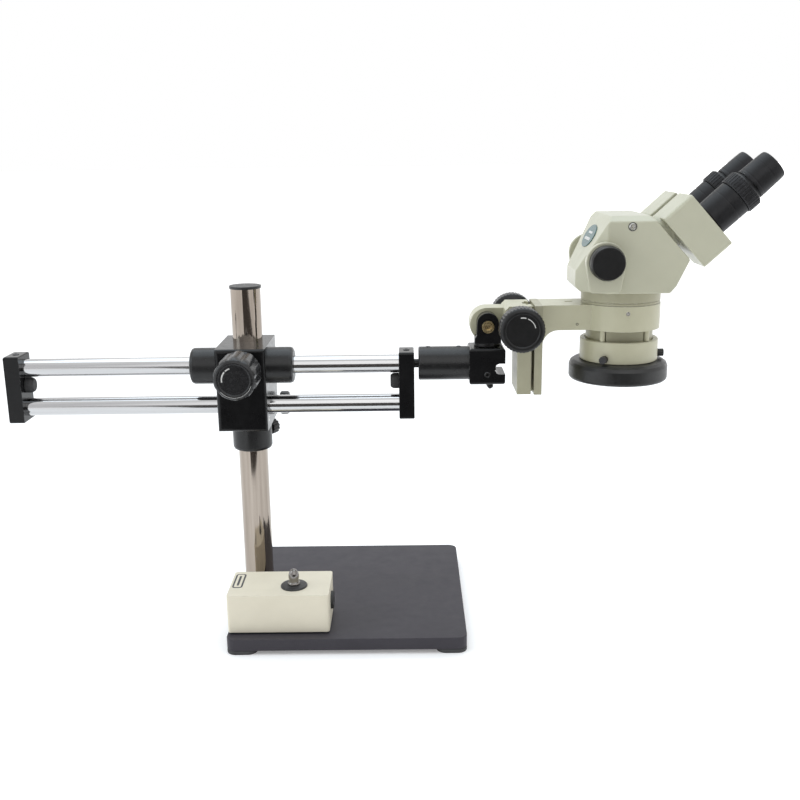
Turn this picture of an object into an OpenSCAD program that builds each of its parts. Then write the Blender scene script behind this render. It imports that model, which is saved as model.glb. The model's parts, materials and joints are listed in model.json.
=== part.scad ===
// Stereo zoom microscope on a double-bar boom stand.
// Z is up, X runs along the boom towards the microscope, Y runs back from the lamp box.
// All sizes are in millimetres. The drawing origin is the post axis at the floor;
// frame_x then moves the whole object so that the origin is under the middle of its box.

/* [Base and post] */
// length of the base along the boom
base_l = 250; // [200:1:320]
// depth of the base
base_w = 250; // [200:1:320]
// thickness of the base plate
plate_t = 13; // [8:0.5:20]
// height of the corner feet
foot_h = 4.4; // [3:0.1:8]
// distance from the base's left edge to the post axis
post_inset = 19; // [18:1:40]
// radius of the post
post_r = 16; // [14:0.5:20]
// height of the top of the post cap above the floor
post_top = 367.5; // [300:0.5:450]

/* [Lamp box] */
// length of the lamp box
box_l = 106; // [80:1:130]
// depth of the lamp box
box_w = 61.6; // [50:0.1:80]
// height of the lamp box
box_h = 43.4; // [30:0.1:60]

/* [Boom] */
// radius of each boom bar
bar_r = 9.5; // [7:0.5:12]
// height of the upper bar's axis
bar_z = 288.3; // [250:0.1:320]
// distance between the two bar axes
bar_gap = 42; // [36:1:60]
// how far in front of the post axis the bars run
bar_y = -38; // [-50:1:-34]
// left end of the boom
boom_x0 = -246; // [-300:1:-150]
// right end of the boom
boom_x1 = 179.4; // [120:0.1:260]
// thickness of the end plates
end_t = 16; // [10:1:24]

/* [Junction block] */
// width of the block along the boom
block_w = 52; // [44:1:70]
// underside of the block
block_z0 = 221.7; // [200:0.1:240]
// top of the block
block_z1 = 309; // [300:1:330]
// front face of the block
block_y0 = -60; // [-70:1:-52]
// back face of the block
block_y1 = 29; // [22:1:40]

/* [Focus mount] */
// tilt axis along the boom
tilt_x = 255.3; // [250:0.1:265]
// height of the tilt axis
tilt_z = 328.5; // [325:0.1:335]
// pinion axis along the boom
pinion_x = 286; // [284:0.5:290]
// height of the pinion axis
pinion_z = 331.5; // [328:0.1:336]
// radius of the focus knobs
focus_knob_r = 22.8; // [18:0.1:26]

/* [Microscope] */
// axis of the microscope along the boom
scope_x = 392.4; // [380:0.1:420]
// outer radius of the holding ring
ring_r = 40.5; // [38:0.1:44]
// half of the microscope body's width
body_hw = 50; // [44:1:56]
// angle of the eyepieces above the horizontal
eye_tilt = 42; // [30:1:60]
// distance between the two eyepieces
eye_gap = 64; // [56:1:72]

/* [Ring light] */
// outer radius of the ring light
lamp_r = 50.5; // [44:0.5:56]
// underside of the ring light
lamp_z0 = 271.5; // [268:0.5:276]

/* [Hidden] */
$fn = 64;
frame_x = -146.45;
plate_top = foot_h + plate_t;
base_x0 = -post_inset;
lower_z = bar_z - bar_gap;
run = 0.05;
far = 0.3;

// lamp box position on the base
box_x = -17.9;
box_y = -113.1;
dial_x = 50.1;
dial_y = -89;

// junction block
sleeve_r = 19;
knob_z = bar_z;

// focus mount
mount_y0 = -62;
mount_y1 = -14;
groove_x = 299;
slide_x0 = 302;
slide_x1 = 310;
rail_z0 = 259.5;
rail_z1 = 316.4;
arm_z0 = 325.5;
arm_z1 = 351;
pitch_r = 8;
teeth = 16;

// microscope body, in its side view
neck_z1 = 365.5;
body_top = 440.5;
slope_n = 599.5;
wall = 4;
zoom_x = 366;
zoom_z = 397;

// prism housings, in the slanted optical frame
house_n0 = 604.9;
house_n1 = 639.4;
pivot_t = -28;
pivot_y = 23;
eye_t = -9;
lip_n = 672;

// ---- helpers -------------------------------------------------------------

// rectangle with rounded corners, centred
module rounded(w, h, r) {
  square([w - 2 * r, h], center = true);
  square([w, h - 2 * r], center = true);
  for (sx = [-1, 1]) for (sy = [-1, 1])
    translate([sx * (w / 2 - r), sy * (h / 2 - r)]) circle(r = r);
}

// a side-view (X, Z) outline carried from y0 to y1
module side(y0, y1) {
  translate([0, y1, 0]) rotate([90, 0, 0]) linear_extrude(height = y1 - y0) children();
}

// a round rod along Y
module rod_y(x, z, r, y0, y1) {
  side(y0, y1) translate([x, z]) circle(r = r);
}

// a round rod along X
module rod_x(y, z, r, x0, x1) {
  translate([x0, y, z]) rotate([0, 90, 0]) cylinder(r = r, h = x1 - x0);
}

// a (Y, Z) outline carried from x0 to x1
module end_view(x0, x1) {
  translate([x0, 0, 0]) rotate([90, 0, 90]) linear_extrude(height = x1 - x0) children();
}

// a solid of revolution about Y whose outline is [radius, distance in front of y]
module turned_y(x, z, y, dir) {
  translate([x, y, z]) rotate([dir > 0 ? -90 : 90, 0, 0]) rotate_extrude() children();
}

// the slanted frame of the eyepieces: local X runs down the slope, local Z along the view
module optics() {
  rotate([0, 90 - eye_tilt, 0]) children();
}

// fluted grip outline
module fluted(r, n, groove) {
  difference() {
    circle(r = r);
    for (i = [0 : n - 1]) rotate(i * 360 / n) translate([r + groove * 0.45, 0]) circle(r = groove, $fn = 24);
  }
}

// ---- base and post -------------------------------------------------------

module base_plate() {
  color([0.20, 0.20, 0.21]) difference() {
    translate([base_x0 + base_l / 2, 0, foot_h])
      linear_extrude(height = plate_t) rounded(base_l, base_w, 10);
    translate([0, 0, foot_h - 1]) cylinder(r = 5.3, h = plate_t + 2);
    translate([0, 0, foot_h - 1]) cylinder(r = 9, h = 8);
  }
}

module base_feet() {
  color([0.14, 0.14, 0.15]) for (sx = [0, 1]) for (sy = [-1, 1])
    translate([base_x0 + 16 + sx * (base_l - 32), sy * (base_w / 2 - 16), 0])
      linear_extrude(height = foot_h) rounded(32, 32, 10);
}

module post() {
  color([0.80, 0.78, 0.75]) difference() {
    translate([0, 0, plate_top]) cylinder(r = post_r, h = post_top - 3 - plate_top);
    translate([0, 0, plate_top + 30]) cylinder(r = post_r - 4, h = post_top);
    translate([0, 0, plate_top - 1]) cylinder(r = 5.02, h = 26);
  }
}

module post_cap() {
  color([0.10, 0.10, 0.11]) {
    translate([0, 0, post_top - 3]) cylinder(r = post_r + 1, h = 3);
    translate([0, 0, post_top - 13]) cylinder(r = post_r - 4.02, h = 10.5);
  }
}

module post_bolt() {
  color([0.55, 0.55, 0.57]) difference() {
    union() {
      translate([0, 0, foot_h + 0.6]) cylinder(r = 8, h = 6.4);
      translate([0, 0, foot_h + 6]) cylinder(r = 5, h = plate_t + 14);
    }
    translate([0, 0, foot_h]) cylinder(r = 4.6, h = 4.6, $fn = 6);
  }
}

// ---- lamp box ------------------------------------------------------------

module box_shell() {
  color([0.84, 0.83, 0.76]) difference() {
    translate([box_x + box_l / 2, box_y + box_w / 2, plate_top + 2])
      linear_extrude(height = box_h - 2) rounded(box_l, box_w, 3);
    translate([box_x + 2, box_y + 2, plate_top]) cube([box_l - 4, box_w - 4, box_h - 2]);
    translate([dial_x, dial_y, plate_top]) cylinder(r = 4.1, h = box_h + 2);
    translate([box_x + box_l - 4, box_y + box_w / 2, plate_top + 24])
      rotate([0, 90, 0]) cylinder(r = 7.02, h = 8);
    translate([box_x - 1, box_y + box_w / 2 - 9.2, plate_top + 16.2]) cube([4, 18.4, 13.6]);
  }
}

module box_floor() {
  color([0.15, 0.15, 0.16]) difference() {
    union() {
      translate([box_x + box_l / 2, box_y + box_w / 2, plate_top])
        linear_extrude(height = 2) rounded(box_l - 1, box_w - 1, 3);
      translate([box_x + 2.2, box_y + 2.2, plate_top + 1.5]) cube([box_l - 4.4, box_w - 4.4, 2.5]);
    }
    translate([box_x + 6, box_y + 6, plate_top + 2.5]) cube([box_l - 12, box_w - 12, 5]);
  }
}

module box_dial() {
  color([0.10, 0.10, 0.11]) difference() {
    translate([dial_x, dial_y, plate_top + box_h]) rotate_extrude()
      polygon([[4.1, 0], [14, 0], [14, 1.2], [12.8, 2.4], [4.1, 2.4]]);
    translate([dial_x, dial_y + 11, plate_top + box_h + 1.4]) cube([1.2, 4, 3], center = true);
  }
}

module box_knob() {
  z0 = plate_top + box_h;
  color([0.35, 0.34, 0.34]) translate([dial_x, dial_y, 0]) difference() {
    union() {
      translate([0, 0, z0 - 6]) cylinder(r = 4, h = 9);
      translate([0, 0, z0 + 2.7]) cylinder(r1 = 6.2, r2 = 5.2, h = 9);
      translate([0, 0, z0 + 11.6]) cylinder(r1 = 5.2, r2 = 3.4, h = 6);
      translate([0, 0, z0 + 17.5]) cylinder(r1 = 3.4, r2 = 2.4, h = 1.2);
    }
    translate([-0.4, 1.5, z0 + 16]) cube([0.8, 6, 4]);
  }
}

module box_socket() {
  x1 = box_x + box_l;
  color([0.12, 0.12, 0.13]) difference() {
    union() {
      rod_x(box_y + box_w / 2, plate_top + 24, 7, x1 - 8, x1);
      rod_x(box_y + box_w / 2, plate_top + 24, 9.5, x1, x1 + 3);
    }
    rod_x(box_y + box_w / 2, plate_top + 24, 3.2, x1 - 6, x1 + 4);
  }
}

module box_switch() {
  color([0.08, 0.08, 0.09]) translate([box_x - 0.2, box_y + box_w / 2, plate_top + 23]) {
    side_rocker();
  }
}

// rocker that turns on a hidden pin behind the box wall
module side_rocker() {
  rotate([90, 0, 0]) linear_extrude(height = 17.6, center = true)
    polygon([[5, -4], [1, -5.9], [-1.0, -5.6], [-1.6, 0], [-1.0, 5.6], [1, 5.9], [5, 4]]);
  translate([3.9, 0, 0]) rotate([90, 0, 0]) cylinder(r = 1.5, h = 22, center = true);
}

// ---- collar and junction block -------------------------------------------

module collar() {
  color([0.09, 0.09, 0.10]) difference() {
    translate([0, 0, 187.5]) rotate_extrude()
      polygon([[post_r + run, 0], [18.6, 0], [20.6, 1], [21.5, 3.4], [21.5, 33.2],
               [20.7, 34], [post_r + run, 34]]);
    rod_collar(4.05, 15, 22);
  }
}

// the collar's clamping screw points to the back right
module rod_collar(r, a, b) {
  translate([0, 0, 204]) rotate([0, 0, 55]) translate([a, 0, 0]) rotate([0, 90, 0]) cylinder(r = r, h = b - a);
}

module collar_screw() {
  color([0.08, 0.08, 0.09]) {
    rod_collar(4, post_r + 0.3, 27);
    translate([0, 0, 204]) rotate([0, 0, 55]) translate([27, 0, 0]) rotate([0, 90, 0])
      linear_extrude(height = 9) fluted(8.5, 12, 1.6);
  }
}

module block_body() {
  h = block_z1 - block_z0;
  color([0.08, 0.08, 0.085]) difference() {
    intersection() {
      translate([0, (block_y0 + block_y1) / 2, block_z0])
        linear_extrude(height = h) rounded(block_w, block_y1 - block_y0, 4);
      end_view(-block_w, block_w)
        translate([(block_y0 + block_y1) / 2, block_z0 + h / 2]) rounded(block_y1 - block_y0, h, 4);
    }
    translate([0, 0, block_z0 - 1]) cylinder(r = post_r + run, h = h + 2);
    rod_x(bar_y, bar_z, bar_r + 0.6, -block_w, block_w);
    rod_x(bar_y, lower_z, bar_r + run, -block_w, block_w);
    rod_y(2, knob_z, 5.05, block_y0 - 1, bar_y - bar_r + 1);
    rod_x(24, 208 + 24, 4.05, 5, block_w);
    translate([4, post_r - 4, block_z0 - 1]) cube([3, block_y1, h + 2]);
  }
}

module bearing_sleeves() {
  color([0.10, 0.10, 0.105]) for (s = [-1, 1])
    translate([s * block_w / 2, bar_y, bar_z]) rotate([0, s * 90, 0]) rotate_extrude()
      polygon([[bar_r + run, 0], [sleeve_r, 0], [sleeve_r, 24], [sleeve_r - 0.9, 26.4],
               [sleeve_r - 3.2, 27.6], [bar_r + run, 27.6]]);
}

module front_knob() {
  color([0.07, 0.07, 0.075]) translate([2, 0, knob_z]) {
    rotate([90, 0, 0]) {
      translate([0, 0, -bar_y + bar_r + 0.2]) cylinder(r = 5, h = 20);
      translate([0, 0, 60.4]) cylinder(r = 15, h = 8);
      intersection() {
        translate([0, 0, 68]) linear_extrude(height = 43) fluted(22.5, 10, 4.6);
        translate([0, 0, 68]) rotate_extrude()
          polygon([[0, 0], [21.5, 0], [22.5, 1.5], [21.8, 38], [19.2, 43], [0, 43]]);
      }
    }
  }
}

module rear_knob() {
  x0 = block_w / 2;
  color([0.08, 0.08, 0.085]) {
    rod_x(24, 232, 4, 10, x0 + 4);
    translate([x0 + 0.3, 24, 232]) rotate([0, 90, 0]) rotate_extrude()
      polygon([[0, 0], [8, 0], [8, 2.5], [12.5, 3.5], [13, 5], [13, 11], [11.5, 13.5], [0, 13.5]]);
  }
}

// ---- boom ----------------------------------------------------------------

module bar_upper() {
  color([0.86, 0.86, 0.87]) rod_x(bar_y, bar_z, bar_r, boom_x0 + 4, boom_x1 - 4);
}

module bar_lower() {
  color([0.86, 0.86, 0.87]) rod_x(bar_y, lower_z, bar_r, boom_x0 + 4, boom_x1 - 4);
}

// black end plate with two bar seats; x0 is its left face
module end_plate(x0) {
  mid = bar_z - bar_gap / 2;
  difference() {
    intersection() {
      end_view(x0, x0 + end_t) translate([bar_y, mid]) rounded(32, bar_gap + 29, 2.5);
      side(bar_y - 20, bar_y + 20) translate([x0 + end_t / 2, mid]) rounded(end_t, bar_gap + 29, 1.5);
    }
    for (z = [bar_z, lower_z]) rod_x(bar_y, z, bar_r + 0.01, max(x0 - 1, boom_x0 + 4), min(x0 + end_t + 1, boom_x1 - 4));
  }
}

module end_plate_left() {
  color([0.07, 0.07, 0.075]) end_plate(boom_x0);
}

module end_plate_right() {
  x0 = boom_x1 - end_t;
  color([0.07, 0.07, 0.075]) {
    end_plate(x0);
    rod_x(bar_y, bar_z, 4.5, boom_x1 - 1, boom_x1 + 34);
    rod_x(bar_y, bar_z, 8, boom_x1 + 30, boom_x1 + 36);
  }
}

module bumpers() {
  color([0.05, 0.05, 0.055]) {
    translate([boom_x1 - end_t, bar_y, 270]) rotate([0, -90, 0]) cylinder(r1 = 8.2, r2 = 8.2, h = 6);
    translate([boom_x1 - end_t - 6, bar_y, 270]) rotate([0, -90, 0]) cylinder(r1 = 8.2, r2 = 6.4, h = 3);
    translate([boom_x0 + end_t, bar_y, 270]) rotate([0, 90, 0]) cylinder(r = 8.2, h = 6);
    translate([boom_x0 + end_t + 6, bar_y, 270]) rotate([0, 90, 0]) cylinder(r1 = 8.2, r2 = 6.4, h = 3);
  }
}

// ---- rolling and swivelling boom head ------------------------------------

module roll_barrel() {
  color([0.09, 0.09, 0.095]) difference() {
    translate([184, bar_y, bar_z]) rotate([0, 90, 0]) rotate_extrude()
      polygon([[0, 0], [16.3, 0], [17.5, 1.2], [17.5, 52.3], [0, 52.3]]);
    rod_x(bar_y, bar_z, 4.55, 183, boom_x1 + 30);
    rod_x(bar_y, bar_z, 8.05, boom_x1 + 29.7, boom_x1 + 36.4);
  }
}

module swivel_cube() {
  color([0.07, 0.07, 0.075]) difference() {
    intersection() {
      side(-57, -19) translate([254.75, 287.5]) rounded(36.9, 38, 3);
      end_view(236, 274) translate([bar_y, 287.5]) rounded(38, 38, 3);
    }
    translate([tilt_x, bar_y, 272]) cylinder(r = 10.05, h = 40);
    rod_y(245, 286, 4.05, -26, -10);
    edge_notch();
  }
}

// open notch in the cube's outer edge
module edge_notch() {
  side(-60, -16) translate([268, 285]) circle(r = 5.6);
  side(-60, -16) translate([268, 279.4]) square([10, 11.2]);
}

module lock_lever() {
  color([0.08, 0.08, 0.085]) {
    rod_y(245, 286, 4, -25, -18);
    rod_y(245, 286, 7.5, -18.7, -12);
    translate([245, -15.4, 286]) rotate([0, 150, 0]) {
      cylinder(r = 3.3, h = 33);
      translate([0, 0, 33]) cylinder(r1 = 3.3, r2 = 2.4, h = 2);
    }
  }
}

module spindle() {
  color([0.09, 0.09, 0.095]) {
    translate([tilt_x, bar_y, 272.4]) cylinder(r = 10, h = 35);
    translate([tilt_x, bar_y, 306.8]) cylinder(r = 13.5, h = 4);
  }
}

module tilt_ear() {
  color([0.07, 0.07, 0.075]) difference() {
    union() {
      side(-54, -39)
        polygon([[tilt_x - 13.6, 310.8], [tilt_x - 13.6, 317], [tilt_x - 11.6, 319],
                 [tilt_x - 11.2, tilt_z + 3.2], [tilt_x + 11.2, tilt_z + 3.2],
                 [tilt_x + 11.6, 319], [tilt_x + 13.6, 317], [tilt_x + 13.6, 310.8]]);
      rod_y(tilt_x, tilt_z + 3.2, 11.2, -54, -39);
    }
    rod_y(tilt_x, tilt_z, 5.02, -60, -30);
    rod_y(tilt_x, tilt_z, 6.6, -55, -50);
  }
}

module tilt_bolt() {
  color([0.72, 0.66, 0.52]) difference() {
    union() {
      rod_y(tilt_x, tilt_z, 6.2, -56, -50);
      rod_y(tilt_x, tilt_z, 5, -50.5, -10);
      rod_y(tilt_x, tilt_z, 9, -13.4, -7);
    }
    side(-57, -53) translate([tilt_x, tilt_z]) circle(r = 3.4, $fn = 6);
  }
}

// ---- focus mount ---------------------------------------------------------

// outline of the dovetail groove seen from above; grow is the running gap
module dovetail(grow) {
  polygon([[slide_x0 + 1, -9 - grow], [groove_x, -9 - grow], [294.6 - grow, -13 - grow],
           [294.6 - grow, 13 + grow], [groove_x, 9 + grow], [slide_x0 + 1, 9 + grow]]);
}

module mount_body() {
  color([0.83, 0.82, 0.75]) difference() {
    union() {
      rod_y(tilt_x, tilt_z, 17.5, -38.7, mount_y1);
      side(-38.7, mount_y1) translate([tilt_x, rail_z1 + 0.2]) square([20, 29.4]);
      side(mount_y0, mount_y1) {
        polygon([[272, rail_z1 + 0.2], [groove_x, rail_z1 + 0.2], [groove_x, 350.6], [276, 350.6], [272, 346.6]]);
      }
    }
    rod_y(tilt_x, tilt_z, 5.05, -40, mount_y1 + 1);
    rod_y(pinion_x, pinion_z, 4.05, mount_y0 - 1, mount_y1 + 1);
    rod_y(pinion_x, pinion_z, 9.6, bar_y - 5, bar_y + 5);
    translate([0, bar_y, 310]) linear_extrude(height = 50) dovetail(0.3);
    translate([291.5, bar_y - 5, 310]) cube([6, 10, 50]);
  }
}

module fixed_rail() {
  color([0.84, 0.83, 0.76]) difference() {
    translate([284.5, -64, rail_z0]) cube([groove_x - 284.5, 52, rail_z1 - rail_z0 + 0.2]);
    translate([0, bar_y, rail_z0 - 1]) linear_extrude(height = 80) dovetail(0.3);
    translate([291.5, bar_y - 5, rail_z0 - 1]) cube([6, 10, 80]);
  }
}

// point on the involute of a circle of radius rb after a roll of a degrees
function involute(rb, a) = [rb * (cos(a) + a * PI / 180 * sin(a)), rb * (sin(a) - a * PI / 180 * cos(a))];
function turn2(p, a) = [p[0] * cos(a) - p[1] * sin(a), p[0] * sin(a) + p[1] * cos(a)];

// one tooth pointing along +X, thinned for running clearance
module tooth() {
  rb = pitch_r * cos(20);
  half = 90 / teeth + 0.854 - 2.2;
  flank = [for (a = [0, 8, 16, 24, 30]) turn2(involute(rb, a), -half)];
  polygon(concat([[5.5, -1.4]], flank, [for (i = [4 : -1 : 0]) [flank[i][0], -flank[i][1]]], [[5.5, 1.4]]));
}

module pinion() {
  color([0.62, 0.62, 0.64]) {
    rod_y(pinion_x, pinion_z, 4, -80, 4);
    side(bar_y - 4, bar_y + 4) translate([pinion_x, pinion_z]) {
      circle(r = 6.6);
      intersection() {
        for (i = [0 : teeth - 1]) rotate(i * 360 / teeth) tooth();
        circle(r = 8.4);
      }
    }
  }
}

module focus_knob(y, dir) {
  translate([pinion_x, y, pinion_z]) rotate([dir > 0 ? -90 : 90, 0, 0]) difference() {
    union() {
      cylinder(r = 14.5, h = 14);
      translate([0, 0, 13.5]) cylinder(r1 = 17, r2 = 21, h = 3);
      intersection() {
        translate([0, 0, 16.4]) linear_extrude(height = 18.6) fluted(focus_knob_r, 40, 1.1);
        translate([0, 0, 16.4]) rotate_extrude()
          polygon([[0, 0], [22, 0], [focus_knob_r, 1], [focus_knob_r, 16], [20.6, 18.6], [0, 18.6]]);
      }
    }
    translate([0, 0, -1]) cylinder(r = 4.02, h = 19.1);
  }
}

module focus_knob_near() {
  color([0.06, 0.06, 0.065]) focus_knob(mount_y0 - 0.5, -1);
}

module focus_knob_far() {
  color([0.06, 0.06, 0.065]) focus_knob(mount_y1 + 0.5, 1);
}

module slide_rail() {
  z0 = rail_z0 - 0.5;
  color([0.84, 0.83, 0.76]) {
    translate([slide_x0, -64, z0]) cube([slide_x1 - slide_x0, 52, arm_z1 - z0]);
    translate([0, bar_y, z0]) linear_extrude(height = arm_z1 - z0 - 3) dovetail(0);
    for (k = [-20 : 3]) translate([294.6, bar_y, pinion_z + (k + 0.5) * PI]) rack_tooth();
  }
}

module rack_tooth() {
  side(-4, 4) polygon([[0.5, -0.95], [0, -0.95], [-1.5, -0.3], [-1.5, 0.3], [0, 0.95], [0.5, 0.95]]);
}

module focus_arm() {
  color([0.84, 0.83, 0.76]) difference() {
    union() {
      side(-61, -15) {
        translate([slide_x1, arm_z0]) square([52, arm_z1 - arm_z0]);
        difference() {
          translate([slide_x1, arm_z0 - 16]) square([16, 16.5]);
          translate([slide_x1 + 16, arm_z0 - 16]) circle(r = 15.9);
        }
      }
      translate([scope_x, bar_y, arm_z0]) cylinder(r = ring_r, h = arm_z1 - arm_z0);
    }
    translate([scope_x, bar_y, arm_z0 - 1]) cylinder(r = 36, h = arm_z1 - arm_z0 + 2);
    translate([scope_x, bar_y, 344]) rotate([0, 0, -90]) translate([30, 0, 0])
      rotate([0, 90, 0]) cylinder(r = 2.05, h = 20);
    translate([340, -34, arm_z1 - 3]) linear_extrude(height = 5) rounded(9, 4, 1.9);
  }
}

module ring_screw() {
  color([0.25, 0.25, 0.26]) translate([scope_x, bar_y, 344]) rotate([0, 0, -90]) difference() {
    translate([36.05, 0, 0]) rotate([0, 90, 0]) cylinder(r = 2, h = 4);
    translate([38.5, 0, 0]) rotate([0, 90, 0]) cylinder(r = 1.1, h = 3, $fn = 6);
  }
}

// ---- microscope head -----------------------------------------------------

module head_neck() {
  color([0.84, 0.83, 0.77]) translate([scope_x, bar_y, 0]) rotate_extrude()
    polygon([[30, arm_z0 - 0.2], [36 - run, arm_z0 - 0.2], [36 - run, arm_z1 + 0.2], [ring_r - 0.6, arm_z1 + 0.2],
             [ring_r - 0.6, arm_z1 + 2.4], [ring_r - 1.2, arm_z1 + 2.8], [ring_r - 1.2, arm_z1 + 3.4],
             [ring_r - 0.3, arm_z1 + 3.8], [ring_r - 0.3, neck_z1], [30, neck_z1]]);
}

// side view of the body; every straight run is set in by s
module body_side(s) {
  dx = cos(eye_tilt);
  dz = sin(eye_tilt);
  n = slope_n - s;
  polygon([[346 + s, neck_z1 + s], [341 + s, neck_z1 + 5 + s * 0.6], [341 + s, 386 - s * 0.4],
           [371.3 + s * 0.5, body_top - s],
           [(n - dz * (body_top - s)) / dx, body_top - s], [n * dx - 4.5 * dz, n * dz + 4.5 * dx],
           [436.4 - s, 372.5], [430.5 - s, neck_z1 + s]]);
}

// view from above: a blunt nose at the front, straight sides behind
module body_plan(s) {
  w = body_hw - s;
  polygon([[340 + s, -26 + s * 0.6], [368 + s * 0.4, -w], [450 - s, -w],
           [450 - s, w], [368 + s * 0.4, w], [340 + s, 26 - s * 0.6]]);
}

// seen from the front: chamfered shoulders
module body_front(s) {
  w = body_hw - s;
  polygon([[-w, neck_z1 - 1 + s], [w, neck_z1 - 1 + s], [w, body_top - 5 - s * 0.6],
           [w - 9, body_top + 0.2 - s], [-w + 9, body_top + 0.2 - s], [-w, body_top - 5 - s * 0.6]]);
}

module body_solid(s) {
  intersection() {
    side(-100, 30) body_side(s);
    translate([0, bar_y, 350]) linear_extrude(height = 100) body_plan(s);
    end_view(335, 455) translate([bar_y, 0]) body_front(s);
  }
}

module zoom_boss(y0, y1) {
  side(y0, y1) {
    translate([zoom_x, zoom_z]) circle(r = 19.6);
    polygon([[zoom_x - 19.4, zoom_z], [zoom_x - 15.5, neck_z1 + 4], [zoom_x - 13, neck_z1 + 1],
             [zoom_x + 13, neck_z1 + 1], [zoom_x + 15.5, neck_z1 + 4], [zoom_x + 19.4, zoom_z]]);
  }
}

module head_body() {
  color([0.85, 0.84, 0.78]) difference() {
    union() {
      body_solid(0);
      zoom_boss(bar_y - body_hw - 5, bar_y - body_hw + 12);
      zoom_boss(bar_y + body_hw - 12, bar_y + body_hw + 5);
    }
    body_solid(wall);
    translate([scope_x, bar_y, neck_z1 - 1]) cylinder(r = 30, h = 10);
    rod_y(zoom_x, zoom_z, 4.05, bar_y - body_hw - 10, bar_y + body_hw + 10);
    rod_y(zoom_x, zoom_z, 11, bar_y - body_hw + 3, bar_y + body_hw - 3);
    optics() for (m = [-1, 1]) translate([pivot_t, bar_y + m * pivot_y, slope_n - 12]) cylinder(r = 14.05, h = 20);
  }
}

module head_badge() {
  a = atan2(body_top - 386, 371.3 - 341);
  color([0.05, 0.22, 0.22]) translate([358.9, bar_y, 418.2]) rotate([0, -a, 0])
    linear_extrude(height = 1.2) badge_oval();
}

// oval outline made of true arcs
module badge_oval() {
  intersection() {
    translate([-15, 0]) circle(r = 28);
    translate([15, 0]) circle(r = 28);
  }
}

module lower_housing() {
  color([0.80, 0.79, 0.72]) difference() {
    translate([scope_x, bar_y, 300]) cylinder(r = 34, h = arm_z0 - 0.2 - 300);
    translate([scope_x, bar_y, 299]) cylinder(r = 25.5, h = 40);
    for (m = [-1, 1]) {
      translate([scope_x - 40, bar_y + (m > 0 ? 28.5 : -48.5), 290]) cube([80, 20, 60]);
      for (k = [-1, 1]) translate([scope_x + k * 20.6 - 1.6, bar_y + m * 28 - 2, 290]) cube([3.2, 6, 60]);
    }
  }
}

module objective_lens() {
  color([0.55, 0.62, 0.70, 0.5]) translate([scope_x, bar_y, 303]) cylinder(r = 25.4, h = 5);
}

// ---- ring light ----------------------------------------------------------

function screw_turn(k) = -121 + 120 * k;

module light_adaptor() {
  color([0.84, 0.83, 0.76]) difference() {
    translate([scope_x, bar_y, 0]) rotate_extrude()
      polygon([[34.1, 292], [39.2, 292], [39.8, 292.6], [39.8, 313.2], [39, 314], [35.2, 314], [34.1, 313]]);
    for (k = [0 : 2]) translate([scope_x, bar_y, 297]) rotate([0, 0, screw_turn(k)])
      translate([33, 0, 0]) rotate([0, 90, 0]) cylinder(r = 2.05, h = 10);
  }
}

module adaptor_screw(k) {
  color([0.08, 0.08, 0.09]) translate([scope_x, bar_y, 297]) rotate([0, 0, screw_turn(k)]) {
    translate([34.15, 0, 0]) rotate([0, 90, 0]) cylinder(r = 2, h = 8);
    translate([40.1, 0, 0]) rotate([0, 90, 0]) linear_extrude(height = 6.5) fluted(3.9, 12, 0.7);
  }
}

module adaptor_screw_a() {
  adaptor_screw(0);
}

module adaptor_screw_b() {
  adaptor_screw(1);
}

module adaptor_screw_c() {
  adaptor_screw(2);
}

module lamp_body() {
  color([0.08, 0.08, 0.085]) translate([scope_x, bar_y, lamp_z0]) rotate_extrude()
    polygon([[31, 0], [32.6, 0], [32.6, 8.3], [46, 8.3], [46, 0], [48.9, 0], [50, 1], [lamp_r, 2.6], [lamp_r, 14],
             [lamp_r - 1.4, 17.4], [lamp_r - 4.4, 19.4], [44, 19.9], [40.2, 20.2], [34, 20.2], [34, 26.5],
             [31, 26.5]]);
}

module lamp_board() {
  color([0.90, 0.90, 0.88]) translate([scope_x, bar_y, lamp_z0 + 6.7]) difference() {
    cylinder(r = 45.9, h = 1.6);
    translate([0, 0, -1]) cylinder(r = 32.7, h = 4);
  }
}

module lamp_leds() {
  color([0.95, 0.95, 0.90, 0.8]) for (i = [0 : 23])
    translate([scope_x, bar_y, lamp_z0]) rotate([0, 0, i * 15 + 7.5]) translate([39.3, 0, 2]) {
      translate([0, 0, 2]) cylinder(r = 2.5, h = 2.7, $fn = 24);
      translate([0, 0, 2]) sphere(r = 2.5, $fn = 24);
    }
}

// ---- zoom knobs ----------------------------------------------------------

module zoom_knob(y, dir) {
  translate([zoom_x, y, zoom_z]) rotate([dir > 0 ? -90 : 90, 0, 0]) rotate_extrude()
    polygon([[4.02, 0], [16.2, 0], [17, 0.8], [17, 9], [15.6, 12.6], [14.8, 13], [0, 13], [0, 9], [4.02, 9]]);
}

module zoom_knob_near() {
  color([0.06, 0.06, 0.065]) {
    zoom_knob(bar_y - body_hw - 5.4, -1);
    rod_y(zoom_x, zoom_z, 4, bar_y - body_hw - 14.6, bar_y + body_hw + 14.2);
  }
}

module zoom_knob_far() {
  color([0.06, 0.06, 0.065]) zoom_knob(bar_y + body_hw + 5.4, 1);
}

// ---- prism housings and eyepieces ----------------------------------------

// outline of a housing seen along the view; m points to the outer side
module housing_plan(m, s) {
  yi = 6.5 + s;
  yo = 51.5 - s;
  polygon([[-44 + s, m * yi], [-0.5, m * yi], [19.5 - s, m * (yi + 6)], [19.5 - s, m * (yo - 2)],
           [17.5 - s, m * yo], [-42 + s, m * yo], [-44 + s, m * (yo - 2)]]);
}

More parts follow.
